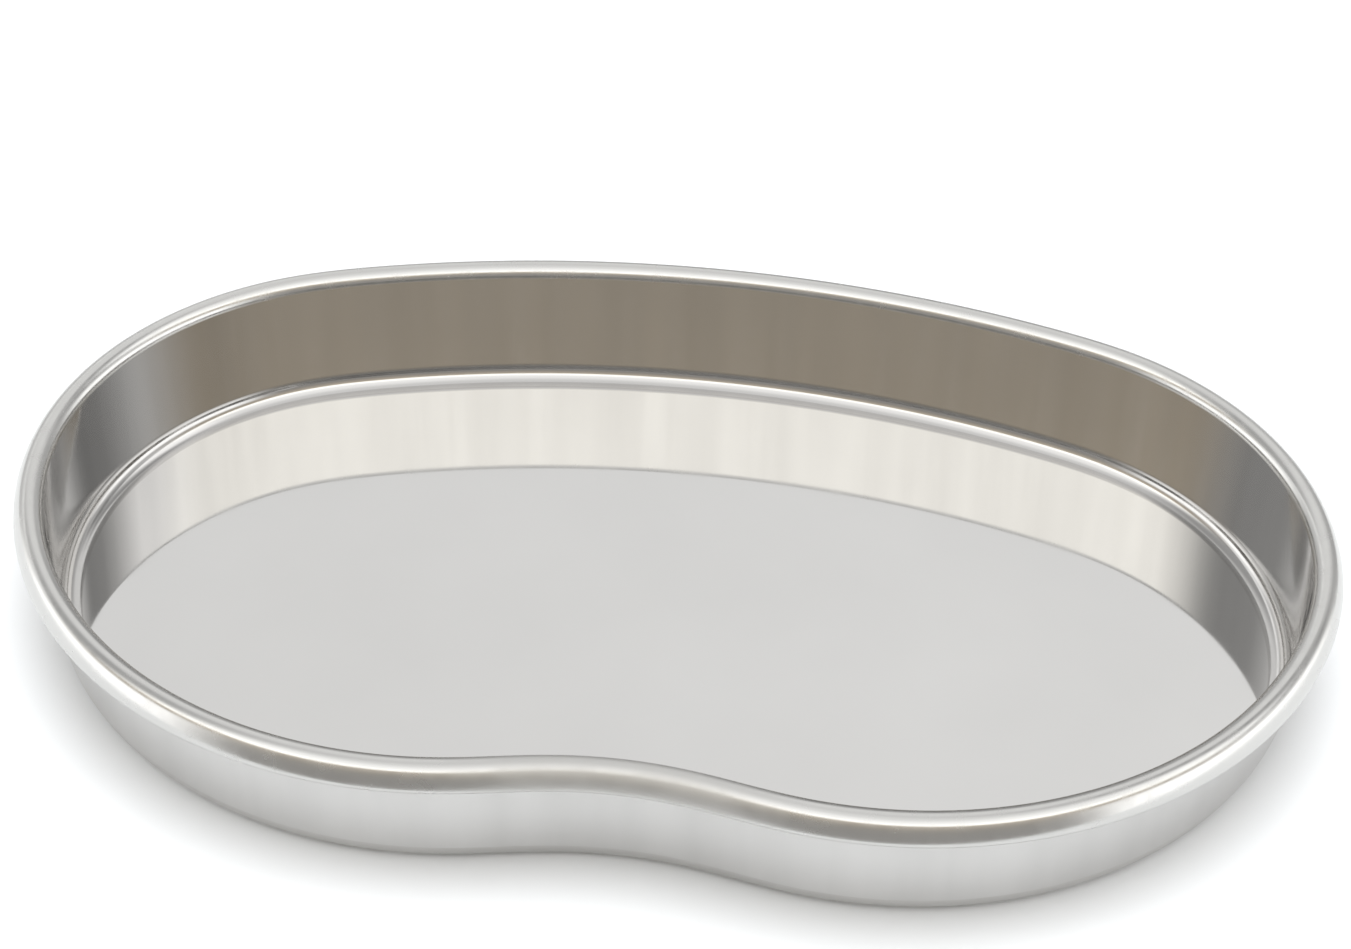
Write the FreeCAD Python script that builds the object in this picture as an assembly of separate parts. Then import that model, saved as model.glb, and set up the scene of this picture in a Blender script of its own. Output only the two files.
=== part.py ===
import FreeCAD, Part
import math
import os

# A kidney dish pressed from one sheet of stainless steel, in millimetres.
# The origin is on the surface that the dish stands on, at the middle of its outline.
# +X runs along the dish, +Y points to its long curved back, and the notch faces -Y.
# The sheet is divided where its forming changes: flat floor, bottom bend, side wall and curled rim.

# The rim's outer edge, seen from above
overall_length = 240.0
overall_width = 150.0
overall_height = 27.0
back_radius = 235.0
end_radius = 64.0
lobe_radius = 80.0
notch_radius = 70.0

# The sheet, and how it is formed
sheet_thickness = 0.7
bottom_bend_radius = 4.2
wall_draft_deg = 2.2

# The rolled rim: the sheet curls over the top of the wall, slackens into a skirt, turns in under it
# on a tight lip, and runs in as a flat hem to an open seam beside the wall
curl_radius = 2.4
skirt_radius = 5.5
lip_radius = 1.3
skirt_start_deg = 38.0
skirt_end_deg = 6.0
hem_start_deg = -90.0
seam_gap = 0.6

# Centres of the outline's tangent arcs on the +X side
back_centre_y = overall_width / 2 - back_radius
end_centre_x = overall_length / 2 - end_radius
end_centre_y = back_centre_y + math.sqrt((back_radius - end_radius) ** 2 - end_centre_x**2)
lobe_centre_y = lobe_radius - overall_width / 2
lobe_centre_x = end_centre_x - math.sqrt(
    (lobe_radius - end_radius) ** 2 - (end_centre_y - lobe_centre_y) ** 2
)
notch_centre_y = lobe_centre_y - math.sqrt((notch_radius + lobe_radius) ** 2 - lobe_centre_x**2)


def polar(radius, angle_deg):
    """A point's two coordinates from its distance and direction."""
    angle = math.radians(angle_deg)
    return radius * math.cos(angle), radius * math.sin(angle)


# Centres of the section's bends. "out" is measured from the rim's outer edge, so it is negative
# inside it. The rim's three arcs are tangent to each other, and the wall is tangent to two bends.
curl_to_skirt = polar(curl_radius - skirt_radius, skirt_start_deg)
skirt_to_lip = polar(skirt_radius - lip_radius, skirt_end_deg)
curl_out = -lip_radius - skirt_to_lip[0] - curl_to_skirt[0]
curl_z = overall_height - curl_radius
skirt_out = curl_out + curl_to_skirt[0]
skirt_z = curl_z + curl_to_skirt[1]
lip_out = skirt_out + skirt_to_lip[0]
lip_z = skirt_z + skirt_to_lip[1]
draft = math.radians(wall_draft_deg)
bend_z = bottom_bend_radius
wall_inner_reach = curl_radius + bottom_bend_radius - sheet_thickness
bend_out = curl_out - (wall_inner_reach + (curl_z - bend_z) * math.sin(draft)) / math.cos(draft)

# The rim's bends in order from the top of the wall: centre, outer radius, first and last direction
rim_bends = [
    (curl_out, curl_z, curl_radius, 180 - wall_draft_deg, skirt_start_deg),
    (skirt_out, skirt_z, skirt_radius, skirt_start_deg, skirt_end_deg),
    (lip_out, lip_z, lip_radius, skirt_end_deg, hem_start_deg),
]
hem_end_out = curl_out - curl_radius + sheet_thickness + seam_gap


def direction_deg(x, y):
    """The direction of a vector in degrees, anticlockwise from +X."""
    return math.degrees(math.atan2(y, x))


def outline_arcs():
    """The six arcs of the outline: centre, radius, first and last direction, and +1 if it bulges outward."""
    back_to_end = direction_deg(end_centre_x, end_centre_y - back_centre_y)
    end_to_lobe = direction_deg(end_centre_x - lobe_centre_x, end_centre_y - lobe_centre_y)
    lobe_to_notch = direction_deg(-lobe_centre_x, notch_centre_y - lobe_centre_y)
    notch_to_lobe = lobe_to_notch + 180
    end = (end_centre_x, end_centre_y, end_radius, end_to_lobe, back_to_end, 1)
    lobe = (lobe_centre_x, lobe_centre_y, lobe_radius, lobe_to_notch, end_to_lobe, 1)
    back = (0.0, back_centre_y, back_radius, back_to_end, 180 - back_to_end, 1)
    notch = (0.0, notch_centre_y, notch_radius, notch_to_lobe, 180 - notch_to_lobe, -1)
    return [back, end, mirrored(end), lobe, mirrored(lobe), notch]


def mirrored(arc):
    """The same arc on the -X side."""
    x, y, radius, first, last, bulge = arc
    return (-x, y, radius, 180 - last, 180 - first, bulge)


def section_point(arc, out, z):
    """A point of the sheet's section, in the vertical XZ plane through the arc's own axis."""
    radius, bulge = arc[2], arc[5]
    return FreeCAD.Vector(radius + bulge * out, 0, z)


def bend_point(arc, centre_out, centre_z, radius, angle_deg):
    """A point on a bend of the section, where 0 degrees is outward and 90 degrees is up."""
    out, z = polar(radius, angle_deg)
    return section_point(arc, centre_out + out, centre_z + z)


def band_side(arc, bends, inset, hem_end):
    """One side of a band's section: its edges, and its first and last points."""
    edges = []
    corners = []
    for centre_out, centre_z, radius, first_deg, last_deg in bends:
        angles = (first_deg, (first_deg + last_deg) / 2, last_deg)
        points = [bend_point(arc, centre_out, centre_z, radius - inset, angle) for angle in angles]
        edges.append(Part.Arc(*points).toShape())
        corners += [points[0], points[2]]
    if hem_end is not None:
        corners.append(section_point(arc, hem_end, corners[-1].z))
        edges.append(Part.LineSegment(corners[-2], corners[-1]).toShape())
    return edges, corners[0], corners[-1]


def band_section(arc, bends, hem_end=None):
    """The section of a band one sheet thick that follows tangent bends, and may end in a flat hem."""
    outer, outer_start, outer_end = band_side(arc, bends, 0, hem_end)
    inner, inner_start, inner_end = band_side(arc, bends, sheet_thickness, hem_end)
    caps = [
        Part.LineSegment(outer_start, inner_start).toShape(),
        Part.LineSegment(outer_end, inner_end).toShape(),
    ]
    return Part.Face(Part.Wire(Part.__sortEdges__(outer + inner + caps)))


def bottom_bend_section(arc):
    """The rounded corner, from the floor's edge to the foot of the wall."""
    return band_section(arc, [(bend_out, bend_z, bottom_bend_radius, -90, -wall_draft_deg)])


def wall_section(arc):
    """The straight wall, which leans out a little towards the rim."""
    foot_deg = -wall_draft_deg
    top_deg = 180 - wall_draft_deg
    corners = [
        bend_point(arc, bend_out, bend_z, bottom_bend_radius, foot_deg),
        bend_point(arc, curl_out, curl_z, curl_radius - sheet_thickness, top_deg),
        bend_point(arc, curl_out, curl_z, curl_radius, top_deg),
        bend_point(arc, bend_out, bend_z, bottom_bend_radius - sheet_thickness, foot_deg),
    ]
    return Part.Face(Part.makePolygon(corners + corners[:1]))


def rim_section(arc):
    """The edge rolled out and down from the top of the wall, open along its seam."""
    return band_section(arc, rim_bends, hem_end_out)


def ring(section):
    """A closed ring that follows the outline: one turned length for each of its arcs."""
    lengths = []
    for arc in outline_arcs():
        x, y, _, first, last, _ = arc
        length = section(arc).revolve(FreeCAD.Vector(0, 0, 0), FreeCAD.Vector(0, 0, 1), last - first)
        length.rotate(FreeCAD.Vector(0, 0, 0), FreeCAD.Vector(0, 0, 1), first)
        length.translate(FreeCAD.Vector(x, y, 0))
        lengths.append(length)
    return lengths[0].multiFuse(lengths[1:]).removeSplitter()


def floor_plate():
    """The flat floor, out to where the bottom bend starts."""
    edges = []
    for x, y, radius, first, last, bulge in outline_arcs():
        points = []
        for angle in (first, (first + last) / 2, last):
            across, along = polar(radius + bulge * bend_out, angle)
            points.append(FreeCAD.Vector(x + across, y + along, 0))
        edges.append(Part.Arc(*points).toShape())
    outline = Part.Wire(Part.__sortEdges__(edges))
    return Part.Face(outline).extrude(FreeCAD.Vector(0, 0, sheet_thickness))


def write(node, shape):
    """Writes one piece, after making sure that it is one sound solid."""
    if len(shape.Solids) != 1 or not shape.isValid():
        raise ValueError(node + " is not one valid solid")
    shape.Solids[0].exportStep(os.path.join("parts", node + ".step"))


os.makedirs("parts", exist_ok=True)
write("dish_floor", floor_plate())
write("bottom_bend", ring(bottom_bend_section))
write("side_wall", ring(wall_section))
write("curled_rim", ring(rim_section))
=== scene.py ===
import math

import bpy
import numpy as np
from mathutils import Matrix, Vector


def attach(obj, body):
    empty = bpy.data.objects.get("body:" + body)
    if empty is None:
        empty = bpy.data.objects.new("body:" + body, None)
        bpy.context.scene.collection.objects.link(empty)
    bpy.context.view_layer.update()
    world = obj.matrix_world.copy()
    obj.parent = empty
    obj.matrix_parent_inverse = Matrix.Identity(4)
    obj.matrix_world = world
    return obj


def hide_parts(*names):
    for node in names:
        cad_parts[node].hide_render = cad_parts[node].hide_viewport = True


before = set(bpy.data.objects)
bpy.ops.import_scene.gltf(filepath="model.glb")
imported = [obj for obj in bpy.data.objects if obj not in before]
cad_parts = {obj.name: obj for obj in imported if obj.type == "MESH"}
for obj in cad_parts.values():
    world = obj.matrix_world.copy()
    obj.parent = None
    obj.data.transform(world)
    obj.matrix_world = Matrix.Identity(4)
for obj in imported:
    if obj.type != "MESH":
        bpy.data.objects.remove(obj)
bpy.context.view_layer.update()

# The rim's outer edge from above and the section of the sheet, in metres, as in the CAD model
LENGTH, WIDTH, HEIGHT = 0.240, 0.150, 0.0270
BACK_RADIUS, END_RADIUS, LOBE_RADIUS, NOTCH_RADIUS = 0.235, 0.064, 0.080, 0.070
SHEET = 0.0007
BEND_RADIUS = 0.0042
CURL_RADIUS = 0.0024
SKIRT_RADIUS = 0.0055
LIP_RADIUS = 0.0013
SKIRT_START = math.radians(38)
SKIRT_END = math.radians(6)
SEAM_GAP = 0.0006
DRAFT = math.radians(2.2)

# How finely the pieces are meshed, and how near two ends of the section count as one point
TOUCHING = 1e-7
STEPS_ALONG = 720
BEND_STEPS = 14
WALL_STEPS = 24
CURL_STEPS = 28
SKIRT_STEPS = 12
LIP_STEPS = 14
# Each change of curve in the outline is blurred by a Gaussian with this standard deviation
EASE_LENGTH = 0.006
# The floor's rings, each as a share of its edge
FLOOR_RINGS = (1.0, 0.97, 0.85, 0.7, 0.5, 0.3, 0.12)


# ---------------------------------------------------------------- outline and section

def arc_runs():
    """(length, curvature) of the outline's arcs, from the back's middle to the notch's middle."""
    back_y = WIDTH / 2 - BACK_RADIUS
    end_x = LENGTH / 2 - END_RADIUS
    end_y = back_y + math.sqrt((BACK_RADIUS - END_RADIUS) ** 2 - end_x**2)
    lobe_y = LOBE_RADIUS - WIDTH / 2
    lobe_x = end_x - math.sqrt((LOBE_RADIUS - END_RADIUS) ** 2 - (end_y - lobe_y) ** 2)
    notch_y = lobe_y - math.sqrt((NOTCH_RADIUS + LOBE_RADIUS) ** 2 - lobe_x**2)
    back_turn = math.atan2(end_x, end_y - back_y)
    end_turn = math.pi / 2 - math.atan2(end_y - lobe_y, end_x - lobe_x) - back_turn
    notch_turn = math.atan2(lobe_x, lobe_y - notch_y)
    lobe_turn = math.pi + notch_turn - back_turn - end_turn
    return [
        (BACK_RADIUS * back_turn, 1 / BACK_RADIUS),
        (END_RADIUS * end_turn, 1 / END_RADIUS),
        (LOBE_RADIUS * lobe_turn, 1 / LOBE_RADIUS),
        (NOTCH_RADIUS * notch_turn, -1 / NOTCH_RADIUS),
    ]


def eased_outline():
    """Points and outward directions round the rim's outer edge, with each change of curve eased."""
    half = arc_runs()
    runs = half + half[::-1]
    ends = np.cumsum([run[0] for run in runs])
    step = ends[-1] / STEPS_ALONG
    middles = (np.arange(STEPS_ALONG) + 0.5) * step
    curvature = np.array([runs[i][1] for i in np.searchsorted(ends, middles)])
    waves = np.fft.rfftfreq(STEPS_ALONG, step)
    blur = np.exp(-2 * (math.pi * EASE_LENGTH * waves) ** 2)
    eased = np.fft.irfft(np.fft.rfft(curvature) * blur, STEPS_ALONG)
    # The outline makes one whole turn, and starts along +X at the middle of the back
    eased *= 2 * math.pi / (eased.sum() * step)
    turned = np.concatenate([[0], np.cumsum(eased) * step])[:-1]
    middle_turn = turned + eased * step / 2
    moves = np.stack([np.cos(middle_turn), -np.sin(middle_turn)], 1) * step
    # The small gap between its ends is shared out, and then it is brought to its overall size
    moves -= moves.mean(0)
    points = np.concatenate([[[0, 0]], np.cumsum(moves, 0)])[:-1]
    low, high = points.min(0), points.max(0)
    points = (points - (low + high) / 2) * np.array([LENGTH, WIDTH]) / (high - low)
    outward = np.stack([np.sin(turned), np.cos(turned)], 1)
    return points, outward


def polar(radius, angle):
    """A point's two coordinates from its distance and direction."""
    return radius * math.cos(angle), radius * math.sin(angle)


def section_centres():
    """(out, z) of the centres of the curl, skirt, lip and bend; out is 0 at the rim's outer edge."""
    curl_to_skirt = polar(CURL_RADIUS - SKIRT_RADIUS, SKIRT_START)
    skirt_to_lip = polar(SKIRT_RADIUS - LIP_RADIUS, SKIRT_END)
    curl = (-LIP_RADIUS - skirt_to_lip[0] - curl_to_skirt[0], HEIGHT - CURL_RADIUS)
    skirt = (curl[0] + curl_to_skirt[0], curl[1] + curl_to_skirt[1])
    lip = (skirt[0] + skirt_to_lip[0], skirt[1] + skirt_to_lip[1])
    reach = CURL_RADIUS + BEND_RADIUS - SHEET
    rise = curl[1] - BEND_RADIUS
    bend = (curl[0] - (reach + rise * math.sin(DRAFT)) / math.cos(DRAFT), BEND_RADIUS)
    return curl, skirt, lip, bend


def arc_strip(centre, radius, first, last, steps, facing):
    """A strip of section points on an arc; facing is +1 where the surface faces away from the centre."""
    strip = []
    for angle in np.linspace(first, last, steps + 1):
        across, up = polar(1, angle)
        strip.append((centre[0] + radius * across, centre[1] + radius * up, facing * across, facing * up))
    return strip


def line_strip(start, end, normal, steps):
    """A strip of section points on a straight line, all with one normal."""
    return [
        (start[0] + (end[0] - start[0]) * t, start[1] + (end[1] - start[1]) * t, *normal)
        for t in np.linspace(0, 1, steps + 1)
    ]


def joined(strips):
    """Strips closed into one loop, with a straight edge wherever two of them don't meet."""
    loop = []
    for i, strip in enumerate(strips):
        loop.append(strip)
        start, end = strip[-1], strips[(i + 1) % len(strips)][0]
        across = (end[0] - start[0], end[1] - start[1])
        gap = math.hypot(*across)
        if gap > TOUCHING:
            loop.append(line_strip(start, end, (-across[1] / gap, across[0] / gap), 1))
    return loop


def swept(name, loop):
    """A closed ring: the section loop carried round the outline, with the section's own normals."""
    points, outward = eased_outline()
    ring = [point for strip in loop for point in strip[:-1]]
    count = len(ring)
    out = np.array([p[0] for p in ring])
    z = np.array([p[1] for p in ring])
    xy = points[:, None, :] + outward[:, None, :] * out[None, :, None]
    heights = np.broadcast_to(z[None, :, None], (STEPS_ALONG, count, 1))
    vertices = np.concatenate([xy, heights], 2).reshape(-1, 3)
    faces, normals = [], []
    edges = [(strip[i], strip[i + 1]) for strip in loop for i in range(len(strip) - 1)]
    for this in range(STEPS_ALONG):
        after = (this + 1) % STEPS_ALONG
        for row, (here, there) in enumerate(edges):
            next_row = (row + 1) % count
            faces.append((
                this * count + row, after * count + row, after * count + next_row, this * count + next_row,
            ))
            for place, point in ((this, here), (after, here), (after, there), (this, there)):
                x, y = outward[place]
                normals.append((x * point[2], y * point[2], point[3]))
    mesh = bpy.data.meshes.new(name)
    mesh.from_pydata(vertices.tolist(), [], faces)
    mesh.polygons.foreach_set("use_smooth", [True] * len(faces))
    mesh.normals_split_custom_set(normals)
    mesh.update()
    piece = bpy.data.objects.new(name, mesh)
    bpy.context.scene.collection.objects.link(piece)
    return piece


# ---------------------------------------------------------------- the four zones of the sheet

def make_rim():
    """The curl over the top, the skirt below it, the lip under that, and a hem to an open seam."""
    curl, skirt, lip, _ = section_centres()
    start, down = math.pi - DRAFT, -math.pi / 2
    seam = curl[0] - CURL_RADIUS + SHEET + SEAM_GAP
    under = lip[1] - LIP_RADIUS
    return swept("rim_curl", joined([
        arc_strip(curl, CURL_RADIUS, start, SKIRT_START, CURL_STEPS, 1),
        arc_strip(skirt, SKIRT_RADIUS, SKIRT_START, SKIRT_END, SKIRT_STEPS, 1),
        arc_strip(lip, LIP_RADIUS, SKIRT_END, down, LIP_STEPS, 1),
        line_strip((seam, under), (seam, under + SHEET), (-1, 0), 1),
        arc_strip(lip, LIP_RADIUS - SHEET, down, SKIRT_END, LIP_STEPS, -1),
        arc_strip(skirt, SKIRT_RADIUS - SHEET, SKIRT_END, SKIRT_START, SKIRT_STEPS, -1),
        arc_strip(curl, CURL_RADIUS - SHEET, SKIRT_START, start, CURL_STEPS, -1),
    ]))


def make_wall():
    """The nearly upright wall, from the bottom bend up to the curl."""
    curl, _, _, bend = section_centres()
    normal = (math.cos(DRAFT), -math.sin(DRAFT))

    def beside(centre, distance):
        """The point at a distance from a centre, square to the wall."""
        return (centre[0] + normal[0] * distance, centre[1] + normal[1] * distance)

    inward = (-normal[0], -normal[1])
    inner = line_strip(beside(bend, BEND_RADIUS - SHEET), beside(curl, -CURL_RADIUS), inward, WALL_STEPS)
    outer = line_strip(beside(curl, SHEET - CURL_RADIUS), beside(bend, BEND_RADIUS), normal, WALL_STEPS)
    return swept("wall_band", joined([inner, outer]))


def make_bend():
    """The rounded corner between the floor and the wall."""
    bend = section_centres()[3]
    outer = arc_strip(bend, BEND_RADIUS, -DRAFT, -math.pi / 2, BEND_STEPS, 1)
    inner = arc_strip(bend, BEND_RADIUS - SHEET, -math.pi / 2, -DRAFT, BEND_STEPS, -1)
    return swept("bend_band", joined([outer, inner]))


def make_floor():
    """The flat floor: rings of quads from its edge in to a small patch in the middle."""
    points, outward = eased_outline()
    bend = section_centres()[3]
    edge = points + outward * bend[0]
    mesh = bpy.data.meshes.new("floor_plate")
    vertices, faces = [], []
    for z in (SHEET, 0.0):
        for share in FLOOR_RINGS:
            vertices += [(x * share, y * share, z) for x, y in edge]
    count, rings = STEPS_ALONG, len(FLOOR_RINGS)
    for side in range(2):
        base = side * rings * count
        for ring in range(rings - 1):
            outer_ring = base + ring * count
            inner_ring = outer_ring + count
            for i in range(count):
                after = (i + 1) % count
                quad = (outer_ring + i, inner_ring + i, inner_ring + after, outer_ring + after)
                faces.append(quad[::-1] if side == 0 else quad)
        middle = [base + (rings - 1) * count + i for i in range(count)]
        faces.append(middle[::-1] if side == 0 else middle)
    for i in range(count):
        after = (i + 1) % count
        faces.append((i, after, rings * count + after, rings * count + i))
    mesh.from_pydata(vertices, [], faces)
    mesh.update()
    piece = bpy.data.objects.new("floor_plate", mesh)
    bpy.context.scene.collection.objects.link(piece)
    return piece


# ---------------------------------------------------------------- materials

# The grain and the slow blotches are noise; GRAIN_SPAN is the part of its range that the roughness follows
GRAIN_DETAIL = 4.0
BLOTCH_DETAIL = 3.0
GRAIN_SPAN = (0.3, 0.7)

# The rim grows rougher within DULL_REACH of the notch's middle, by all of EXTRA_ROUGHNESS within DULL_CORE
NOTCH_MIDDLE = (0.0, -0.0695, 0.0245)
DULL_REACH = 0.036
DULL_CORE = 0.012
EXTRA_ROUGHNESS = 0.26

TABLE_COLOUR = (0.81, 0.825, 0.84, 1)
TABLE_ROUGHNESS = 0.8
TABLE_SPECULAR = 0.1


def new_material(name, metallic=0.0):
    """A material, its nodes and links, and its shader."""
    material = bpy.data.materials.new(name)
    material.use_nodes = True
    nodes, links = material.node_tree.nodes, material.node_tree.links
    shader = nodes["Principled BSDF"]
    shader.inputs["Metallic"].default_value = metallic
    return material, nodes, links, shader


def noise(nodes, links, place, scale, detail):
    """Noise through the piece. The scale is about how many of its spots fit in a metre along each axis."""
    stretch = nodes.new("ShaderNodeMapping")
    stretch.inputs["Scale"].default_value = scale
    links.new(place.outputs["Object"], stretch.inputs["Vector"])
    pattern = nodes.new("ShaderNodeTexNoise")
    pattern.inputs["Scale"].default_value = 1.0
    pattern.inputs["Detail"].default_value = detail
    links.new(stretch.outputs["Vector"], pattern.inputs["Vector"])
    return pattern.outputs["Fac"]


def steel(name, tone, rough, spread, grain_scale, grain_height, blotch=0.04, blotch_scale=(28, 28, 28)):
    """Stainless steel: a tone with slow blotches, and a grain that drives roughness and bump.

    The roughness is rough, give or take spread. blotch is how far the tone strays, as a share of it. The
    scales are as in noise(), and grain_height is in metres.
    """
    material, nodes, links, shader = new_material(name, metallic=1.0)
    place = nodes.new("ShaderNodeTexCoord")
    grain = noise(nodes, links, place, grain_scale, GRAIN_DETAIL)
    slow = noise(nodes, links, place, blotch_scale, BLOTCH_DETAIL)
    darker = (*[c * (1 - blotch) for c in tone], 1)
    lighter = (*[min(1, c * (1 + blotch)) for c in tone], 1)
    links.new(blend(nodes, links, slow, darker, lighter), shader.inputs["Base Color"])
    roughness = nodes.new("ShaderNodeMapRange")
    roughness.inputs["From Min"].default_value = GRAIN_SPAN[0]
    roughness.inputs["From Max"].default_value = GRAIN_SPAN[1]
    roughness.inputs["To Min"].default_value = rough - spread
    roughness.inputs["To Max"].default_value = rough + spread
    links.new(grain, roughness.inputs["Value"])
    links.new(roughness.outputs["Result"], shader.inputs["Roughness"])
    bump = nodes.new("ShaderNodeBump")
    bump.inputs["Strength"].default_value = 1.0
    bump.inputs["Distance"].default_value = grain_height
    links.new(grain, bump.inputs["Height"])
    links.new(bump.outputs["Normal"], shader.inputs["Normal"])
    return material


def dull_in_notch(material):
    """Rougher steel round the middle of the notch, to soften the rim's highlight there."""
    nodes, links = material.node_tree.nodes, material.node_tree.links
    roughness = nodes["Principled BSDF"].inputs["Roughness"]
    polished = roughness.links[0].from_socket
    place = nodes.new("ShaderNodeTexCoord")
    away = nodes.new("ShaderNodeVectorMath")
    away.operation = "DISTANCE"
    away.inputs[1].default_value = NOTCH_MIDDLE
    links.new(place.outputs["Object"], away.inputs[0])
    dullness = smooth_step(nodes, links, away.outputs["Value"], DULL_REACH, DULL_CORE, EXTRA_ROUGHNESS)
    links.new(maths(nodes, links, "ADD", polished, dullness), roughness)
    return material


def rim_steel():
    """The buffed rim, duller in the notch."""
    return dull_in_notch(steel(
        "buffed_rim", tone=(0.60, 0.595, 0.58), rough=0.24, spread=0.05,
        grain_scale=(300, 300, 300), grain_height=0.000004,
    ))


def wall_steel():
    """The satin wall, with a grain and blotches drawn out up and down it."""
    return steel(
        "satin_wall", tone=(0.575, 0.568, 0.558), rough=0.11, spread=0.03,
        grain_scale=(170, 170, 9), grain_height=0.000010, blotch=0.10, blotch_scale=(120, 120, 8),
    )


def bend_steel():
    """The bottom bend: the wall's steel with its tone darkened as painted shade for the dark line along
    the base, and with a fine grain.
    """
    # The tone below is lower than the wall's as painted shade along the base, not a different steel.
    return steel(
        "bend_painted_shade", tone=(0.53, 0.522, 0.51), rough=0.12, spread=0.04,
        grain_scale=(500, 500, 500), grain_height=0.000002,
    )


def floor_steel():
    """The floor, polished almost to a mirror."""
    return steel(
        "polished_floor", tone=(0.62, 0.615, 0.605), rough=0.045, spread=0.02,
        grain_scale=(120, 120, 120), grain_height=0.0000004,
    )


def table_material():
    """A pale, dull table."""
    material, _, _, shader = new_material("pale_table")
    shader.inputs["Roughness"].default_value = TABLE_ROUGHNESS
    shader.inputs["Specular IOR Level"].default_value = TABLE_SPECULAR
    shader.inputs["Base Color"].default_value = TABLE_COLOUR
    return material


# ---------------------------------------------------------------- stage

# In metres: how far the table reaches, where its front and back halves meet, and how far it lies below the
# dish
TABLE_REACH = 6.0
TABLE_SPLIT = -0.110
TABLE_DROP = 0.00005
SUN_STRENGTH = 1.4
SUN_COLOUR = (0.96, 0.98, 1.0)
SUN_ANGLE = math.radians(32)


def make_table():
    """A pale table in two halves. The steel doesn't mirror the front half, but the studio in its place."""
    material = table_material()
    for name, near_y, far_y, mirrored in (
        ("table_front", -TABLE_REACH, TABLE_SPLIT, False),
        ("table_back", TABLE_SPLIT, TABLE_REACH, True),
    ):
        mesh = bpy.data.meshes.new(name)
        corners = [(-TABLE_REACH, near_y), (TABLE_REACH, near_y)]
        corners += [(TABLE_REACH, far_y), (-TABLE_REACH, far_y)]
        mesh.from_pydata([(x, y, -TABLE_DROP) for x, y in corners], [], [(0, 1, 2, 3)])
        mesh.materials.append(material)
        table = bpy.data.objects.new(name, mesh)
        table.visible_glossy = mirrored
        bpy.context.scene.collection.objects.link(table)


def make_sun():
    """A broad soft light from overhead that brightens the table and isn't mirrored in the steel."""
    data = bpy.data.lights.new("overhead", "SUN")
    data.energy = SUN_STRENGTH
    data.color = SUN_COLOUR
    data.angle = SUN_ANGLE
    sun = bpy.data.objects.new("overhead", data)
    sun.visible_glossy = False
    bpy.context.scene.collection.objects.link(sun)


# The studio's light by height, in front of the dish and behind it. Height is the sine of the angle above
# the horizon.
FRONT_LIGHT = (
    (0.0, (0.42, 0.41, 0.395)),
    (0.30, (0.44, 0.42, 0.39)),
    (0.46, (0.61, 0.55, 0.47)),
    (0.605, (0.76, 0.665, 0.53)),
    (0.645, (2.3, 2.27, 2.18)),
    (0.71, (2.3, 2.28, 2.2)),
    (0.80, (1.6, 1.6, 1.6)),
    (0.93, (1.45, 1.45, 1.45)),
    (1.0, (1.1, 1.1, 1.1)),
)
BACK_LIGHT = (
    (0.0, (0.22, 0.22, 0.22)),
    (0.36, (0.36, 0.36, 0.36)),
    (0.52, (1.04, 1.04, 1.04)),
    (0.70, (1.08, 1.08, 1.08)),
    (0.95, (0.95, 0.95, 0.95)),
    (1.0, (1.1, 1.1, 1.1)),
)
# How that light varies round the dish, low, at middle height and higher up. The directions run in degrees
# from behind (-180) by the left (-90), the front (0) and the right (90) to behind again (180).
LOW_ROUND = (
    (-180, 1.2),
    (-155, 1.9),
    (-130, 2.1),
    (-100, 1.8),
    (-80, 1.0),
    (80, 1.0),
    (120, 0.90),
    (155, 0.95),
    (180, 1.2),
)
MIDDLE_ROUND = (
    (-180, 1.0),
    (-154, 0.95),
    (-130, 0.50),
    (-100, 0.50),
    (-72, 1.0),
    (45, 1.0),
    (66, 0.85),
    (103, 0.84),
    (114, 0.60),
    (124, 0.40),
    (140, 0.34),
    (156, 0.95),
    (180, 1.0),
)
HIGH_ROUND = (
    (-180, 1.0),
    (-154, 0.95),
    (-130, 0.50),
    (-100, 0.50),
    (-72, 1.0),
    (45, 1.0),
    (82, 0.95),
    (94, 1.40),
    (106, 1.58),
    (115, 1.65),
    (120, 1.40),
    (126, 1.05),
    (132, 0.77),
    (141, 0.50),
    (154, 0.40),
    (166, 1.0),
    (180, 1.0),
)
# Two bright panels stand low at the sides: their light, and their share of the light in each direction
PANEL_LIGHT = (1.95, 1.95, 1.95, 1.0)
PANEL_SHARE = (
    (-180, 0.0),
    (-160, 0.10),
    (-122, 0.12),
    (-113, 0.60),
    (-104, 1.0),
    (-66, 1.0),
    (-58, 0.85),
    (-50, 0.35),
    (-43, 0.05),
    (-38, 0.0),
    (44, 0.0),
    (50, 0.25),
    (56, 0.75),
    (62, 1.0),
    (112, 1.0),
    (122, 0.80),
    (130, 0.30),
    (142, 0.15),
    (165, 0.25),
    (180, 0.0),
)
# Overhead the light doesn't vary round the dish
EVEN = (1.0, 1.0, 1.0, 1.0)

# Where one light gives way to the next. From behind to in front goes by a direction's y, and the others by
# height. The panels' light sets in downward.
BACK_TO_FRONT = (0.25, -0.25)
LOW_TO_MIDDLE = (0.44, 0.54)
MIDDLE_TO_HIGH = (0.62, 0.66)
HIGH_TO_OVERHEAD = (0.82, 0.97)
PANELS_TOP = (0.48, 0.30)


def light_ramp(nodes, stops):
    """A colour ramp with the given (position, colour) stops."""
    ramp = nodes.new("ShaderNodeValToRGB")
    elements = ramp.color_ramp.elements
    elements[0].color = (*stops[0][1], 1)
    elements[1].color = (*stops[-1][1], 1)
    for position, colour in stops[1:-1]:
        elements.new(position).color = (*colour, 1)
    return ramp


def round_ramp(nodes, links, turn, stops):
    """Shares of light by direction round the dish, from stops in degrees."""
    ramp = light_ramp(nodes, [(0.5 + angle / 360, (share,) * 3) for angle, share in stops])
    links.new(turn, ramp.inputs["Fac"])
    return ramp.outputs["Color"]


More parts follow.
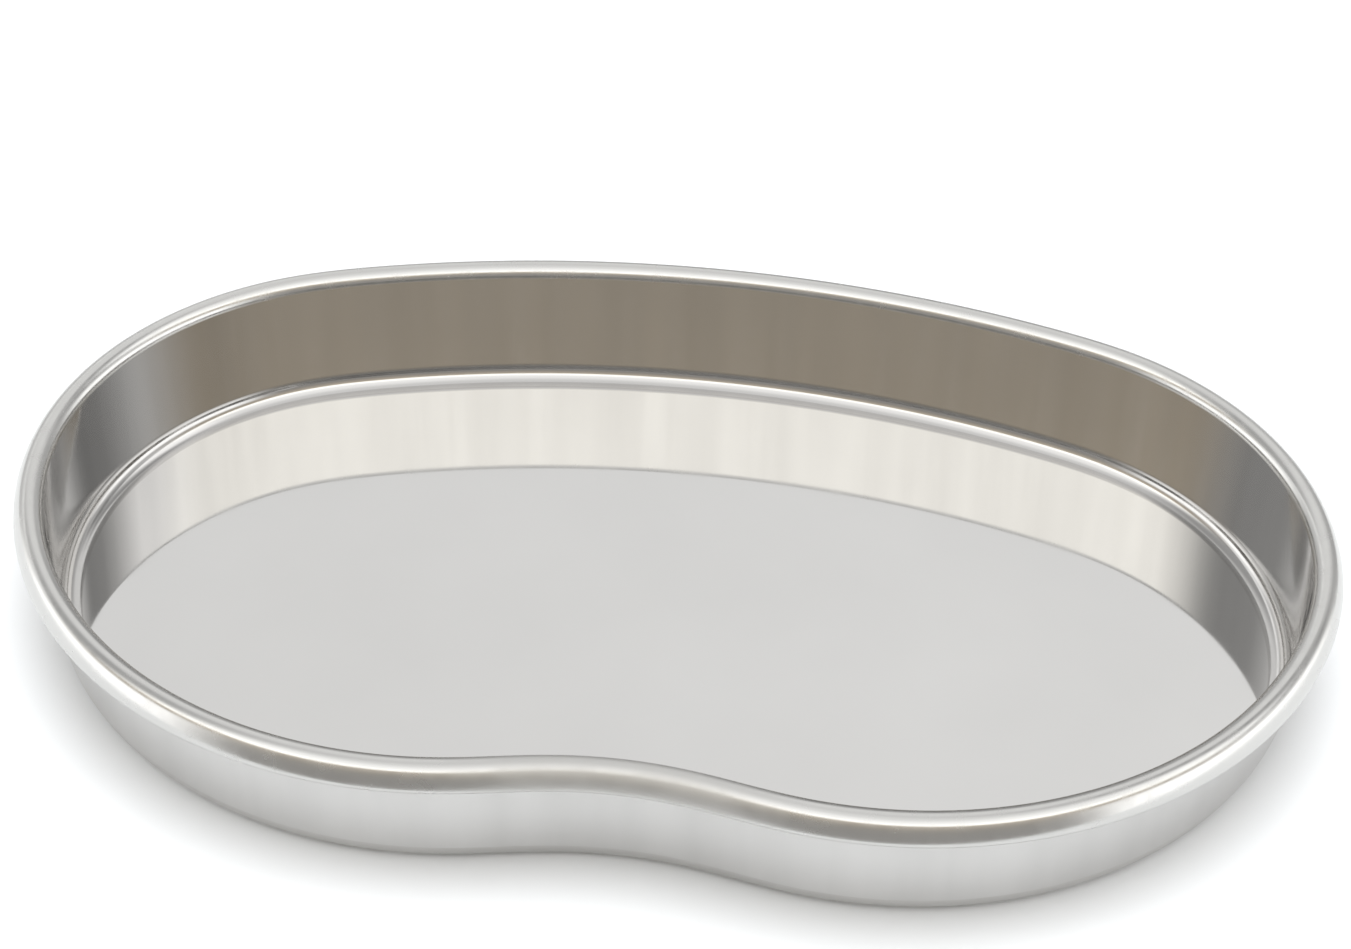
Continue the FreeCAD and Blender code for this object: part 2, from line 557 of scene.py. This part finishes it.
def feed(links, source, socket):
    """Gives a socket its source, which is a node's output or a fixed value."""
    if isinstance(source, (float, tuple)):
        socket.default_value = source
    else:
        links.new(source, socket)


def maths(nodes, links, operation, first, second):
    """A maths node on two sources."""
    node = nodes.new("ShaderNodeMath")
    node.operation = operation
    feed(links, first, node.inputs[0])
    feed(links, second, node.inputs[1])
    return node.outputs["Value"]


def smooth_step(nodes, links, value, start, end, height=1.0):
    """0 before start and the full height past end, with a smooth change between."""
    step = nodes.new("ShaderNodeMapRange")
    step.interpolation_type = "SMOOTHSTEP"
    step.inputs["From Min"].default_value = start
    step.inputs["From Max"].default_value = end
    step.inputs["To Max"].default_value = height
    links.new(value, step.inputs["Value"])
    return step.outputs["Result"]


def blend(nodes, links, share, first, second, kind="MIX"):
    """Two colours blended by a share. All three are sources."""
    node = nodes.new("ShaderNodeMixRGB")
    node.blend_type = kind
    for source, socket in ((share, "Fac"), (first, "Color1"), (second, "Color2")):
        feed(links, source, node.inputs[socket])
    return node.outputs["Color"]


def make_world():
    """A studio that is dim and warm low in front, bright above that, and bright low at both sides."""
    world = bpy.data.worlds.new("studio")
    bpy.context.scene.world = world
    world.use_nodes = True
    nodes, links = world.node_tree.nodes, world.node_tree.links
    place = nodes.new("ShaderNodeTexCoord")
    split = nodes.new("ShaderNodeSeparateXYZ")
    links.new(place.outputs["Generated"], split.inputs["Vector"])
    x, y, z = (split.outputs[axis] for axis in "XYZ")

    front, back = light_ramp(nodes, FRONT_LIGHT), light_ramp(nodes, BACK_LIGHT)
    links.new(z, front.inputs["Fac"])
    links.new(z, back.inputs["Fac"])
    in_front = smooth_step(nodes, links, y, *BACK_TO_FRONT)
    light = blend(nodes, links, in_front, back.outputs["Color"], front.outputs["Color"])

    forward = maths(nodes, links, "MULTIPLY", y, -1.0)
    turn = nodes.new("ShaderNodeMapRange")
    turn.inputs["From Min"].default_value = -math.pi
    turn.inputs["From Max"].default_value = math.pi
    links.new(maths(nodes, links, "ARCTAN2", x, forward), turn.inputs["Value"])
    low_round, middle_round, high_round, panel_share = (
        round_ramp(nodes, links, turn.outputs["Result"], stops)
        for stops in (LOW_ROUND, MIDDLE_ROUND, HIGH_ROUND, PANEL_SHARE)
    )
    around = low_round
    for limits, above in (
        (LOW_TO_MIDDLE, middle_round),
        (MIDDLE_TO_HIGH, high_round),
        (HIGH_TO_OVERHEAD, EVEN),
    ):
        around = blend(nodes, links, smooth_step(nodes, links, z, *limits), around, above)
    light = blend(nodes, links, 1.0, light, around, "MULTIPLY")

    panels = maths(nodes, links, "MULTIPLY", panel_share, smooth_step(nodes, links, z, *PANELS_TOP))
    light = blend(nodes, links, panels, light, PANEL_LIGHT)
    links.new(light, nodes["Background"].inputs["Color"])


# The camera, aimed at a point of the table behind the dish's middle
CAMERA_AZIMUTH = math.radians(6.57)
CAMERA_ELEVATION = math.radians(39.42)
CAMERA_ROLL = math.radians(1.46)
CAMERA_DISTANCE = 0.552
CAMERA_TARGET = Vector((-0.0041, 0.0397, 0.0))
CAMERA_LENS = 74.6
SENSOR_WIDTH = 36.0
CLIP_START = 0.01


def make_camera():
    """A camera in front of the dish and above it, turned by a slight roll."""
    data = bpy.data.cameras.new("camera")
    data.lens = CAMERA_LENS
    data.sensor_width = SENSOR_WIDTH
    data.clip_start = CLIP_START
    camera = bpy.data.objects.new("camera", data)
    bpy.context.scene.collection.objects.link(camera)
    bpy.context.scene.camera = camera
    flat, rise = polar(1, CAMERA_ELEVATION)
    ahead, aside = polar(flat, CAMERA_AZIMUTH)
    back = Vector((aside, -ahead, rise))
    right = (-back).cross(Vector((0, 0, 1))).normalized()
    up = right.cross(-back)
    level, tilt = polar(1, CAMERA_ROLL)
    right, up = right * level + up * tilt, up * level - right * tilt
    turned = Matrix((right, up, back)).transposed().to_4x4()
    camera.matrix_world = Matrix.Translation(CAMERA_TARGET + back * CAMERA_DISTANCE) @ turned


make_camera()

rim, wall, bend, floor = make_rim(), make_wall(), make_bend(), make_floor()
rim.data.materials.append(rim_steel())
wall.data.materials.append(wall_steel())
bend.data.materials.append(bend_steel())
floor.data.materials.append(floor_steel())
for piece, node, slot in (
    (rim, "curled_rim", "polished_rim"),
    (wall, "side_wall", "satin_steel"),
    (bend, "bottom_bend", "satin_steel"),
    (floor, "dish_floor", "polished_floor"),
):
    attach(piece, "root")
    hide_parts(node)

make_table()
make_sun()
make_world()
bpy.context.scene.view_settings.view_transform = "Standard"
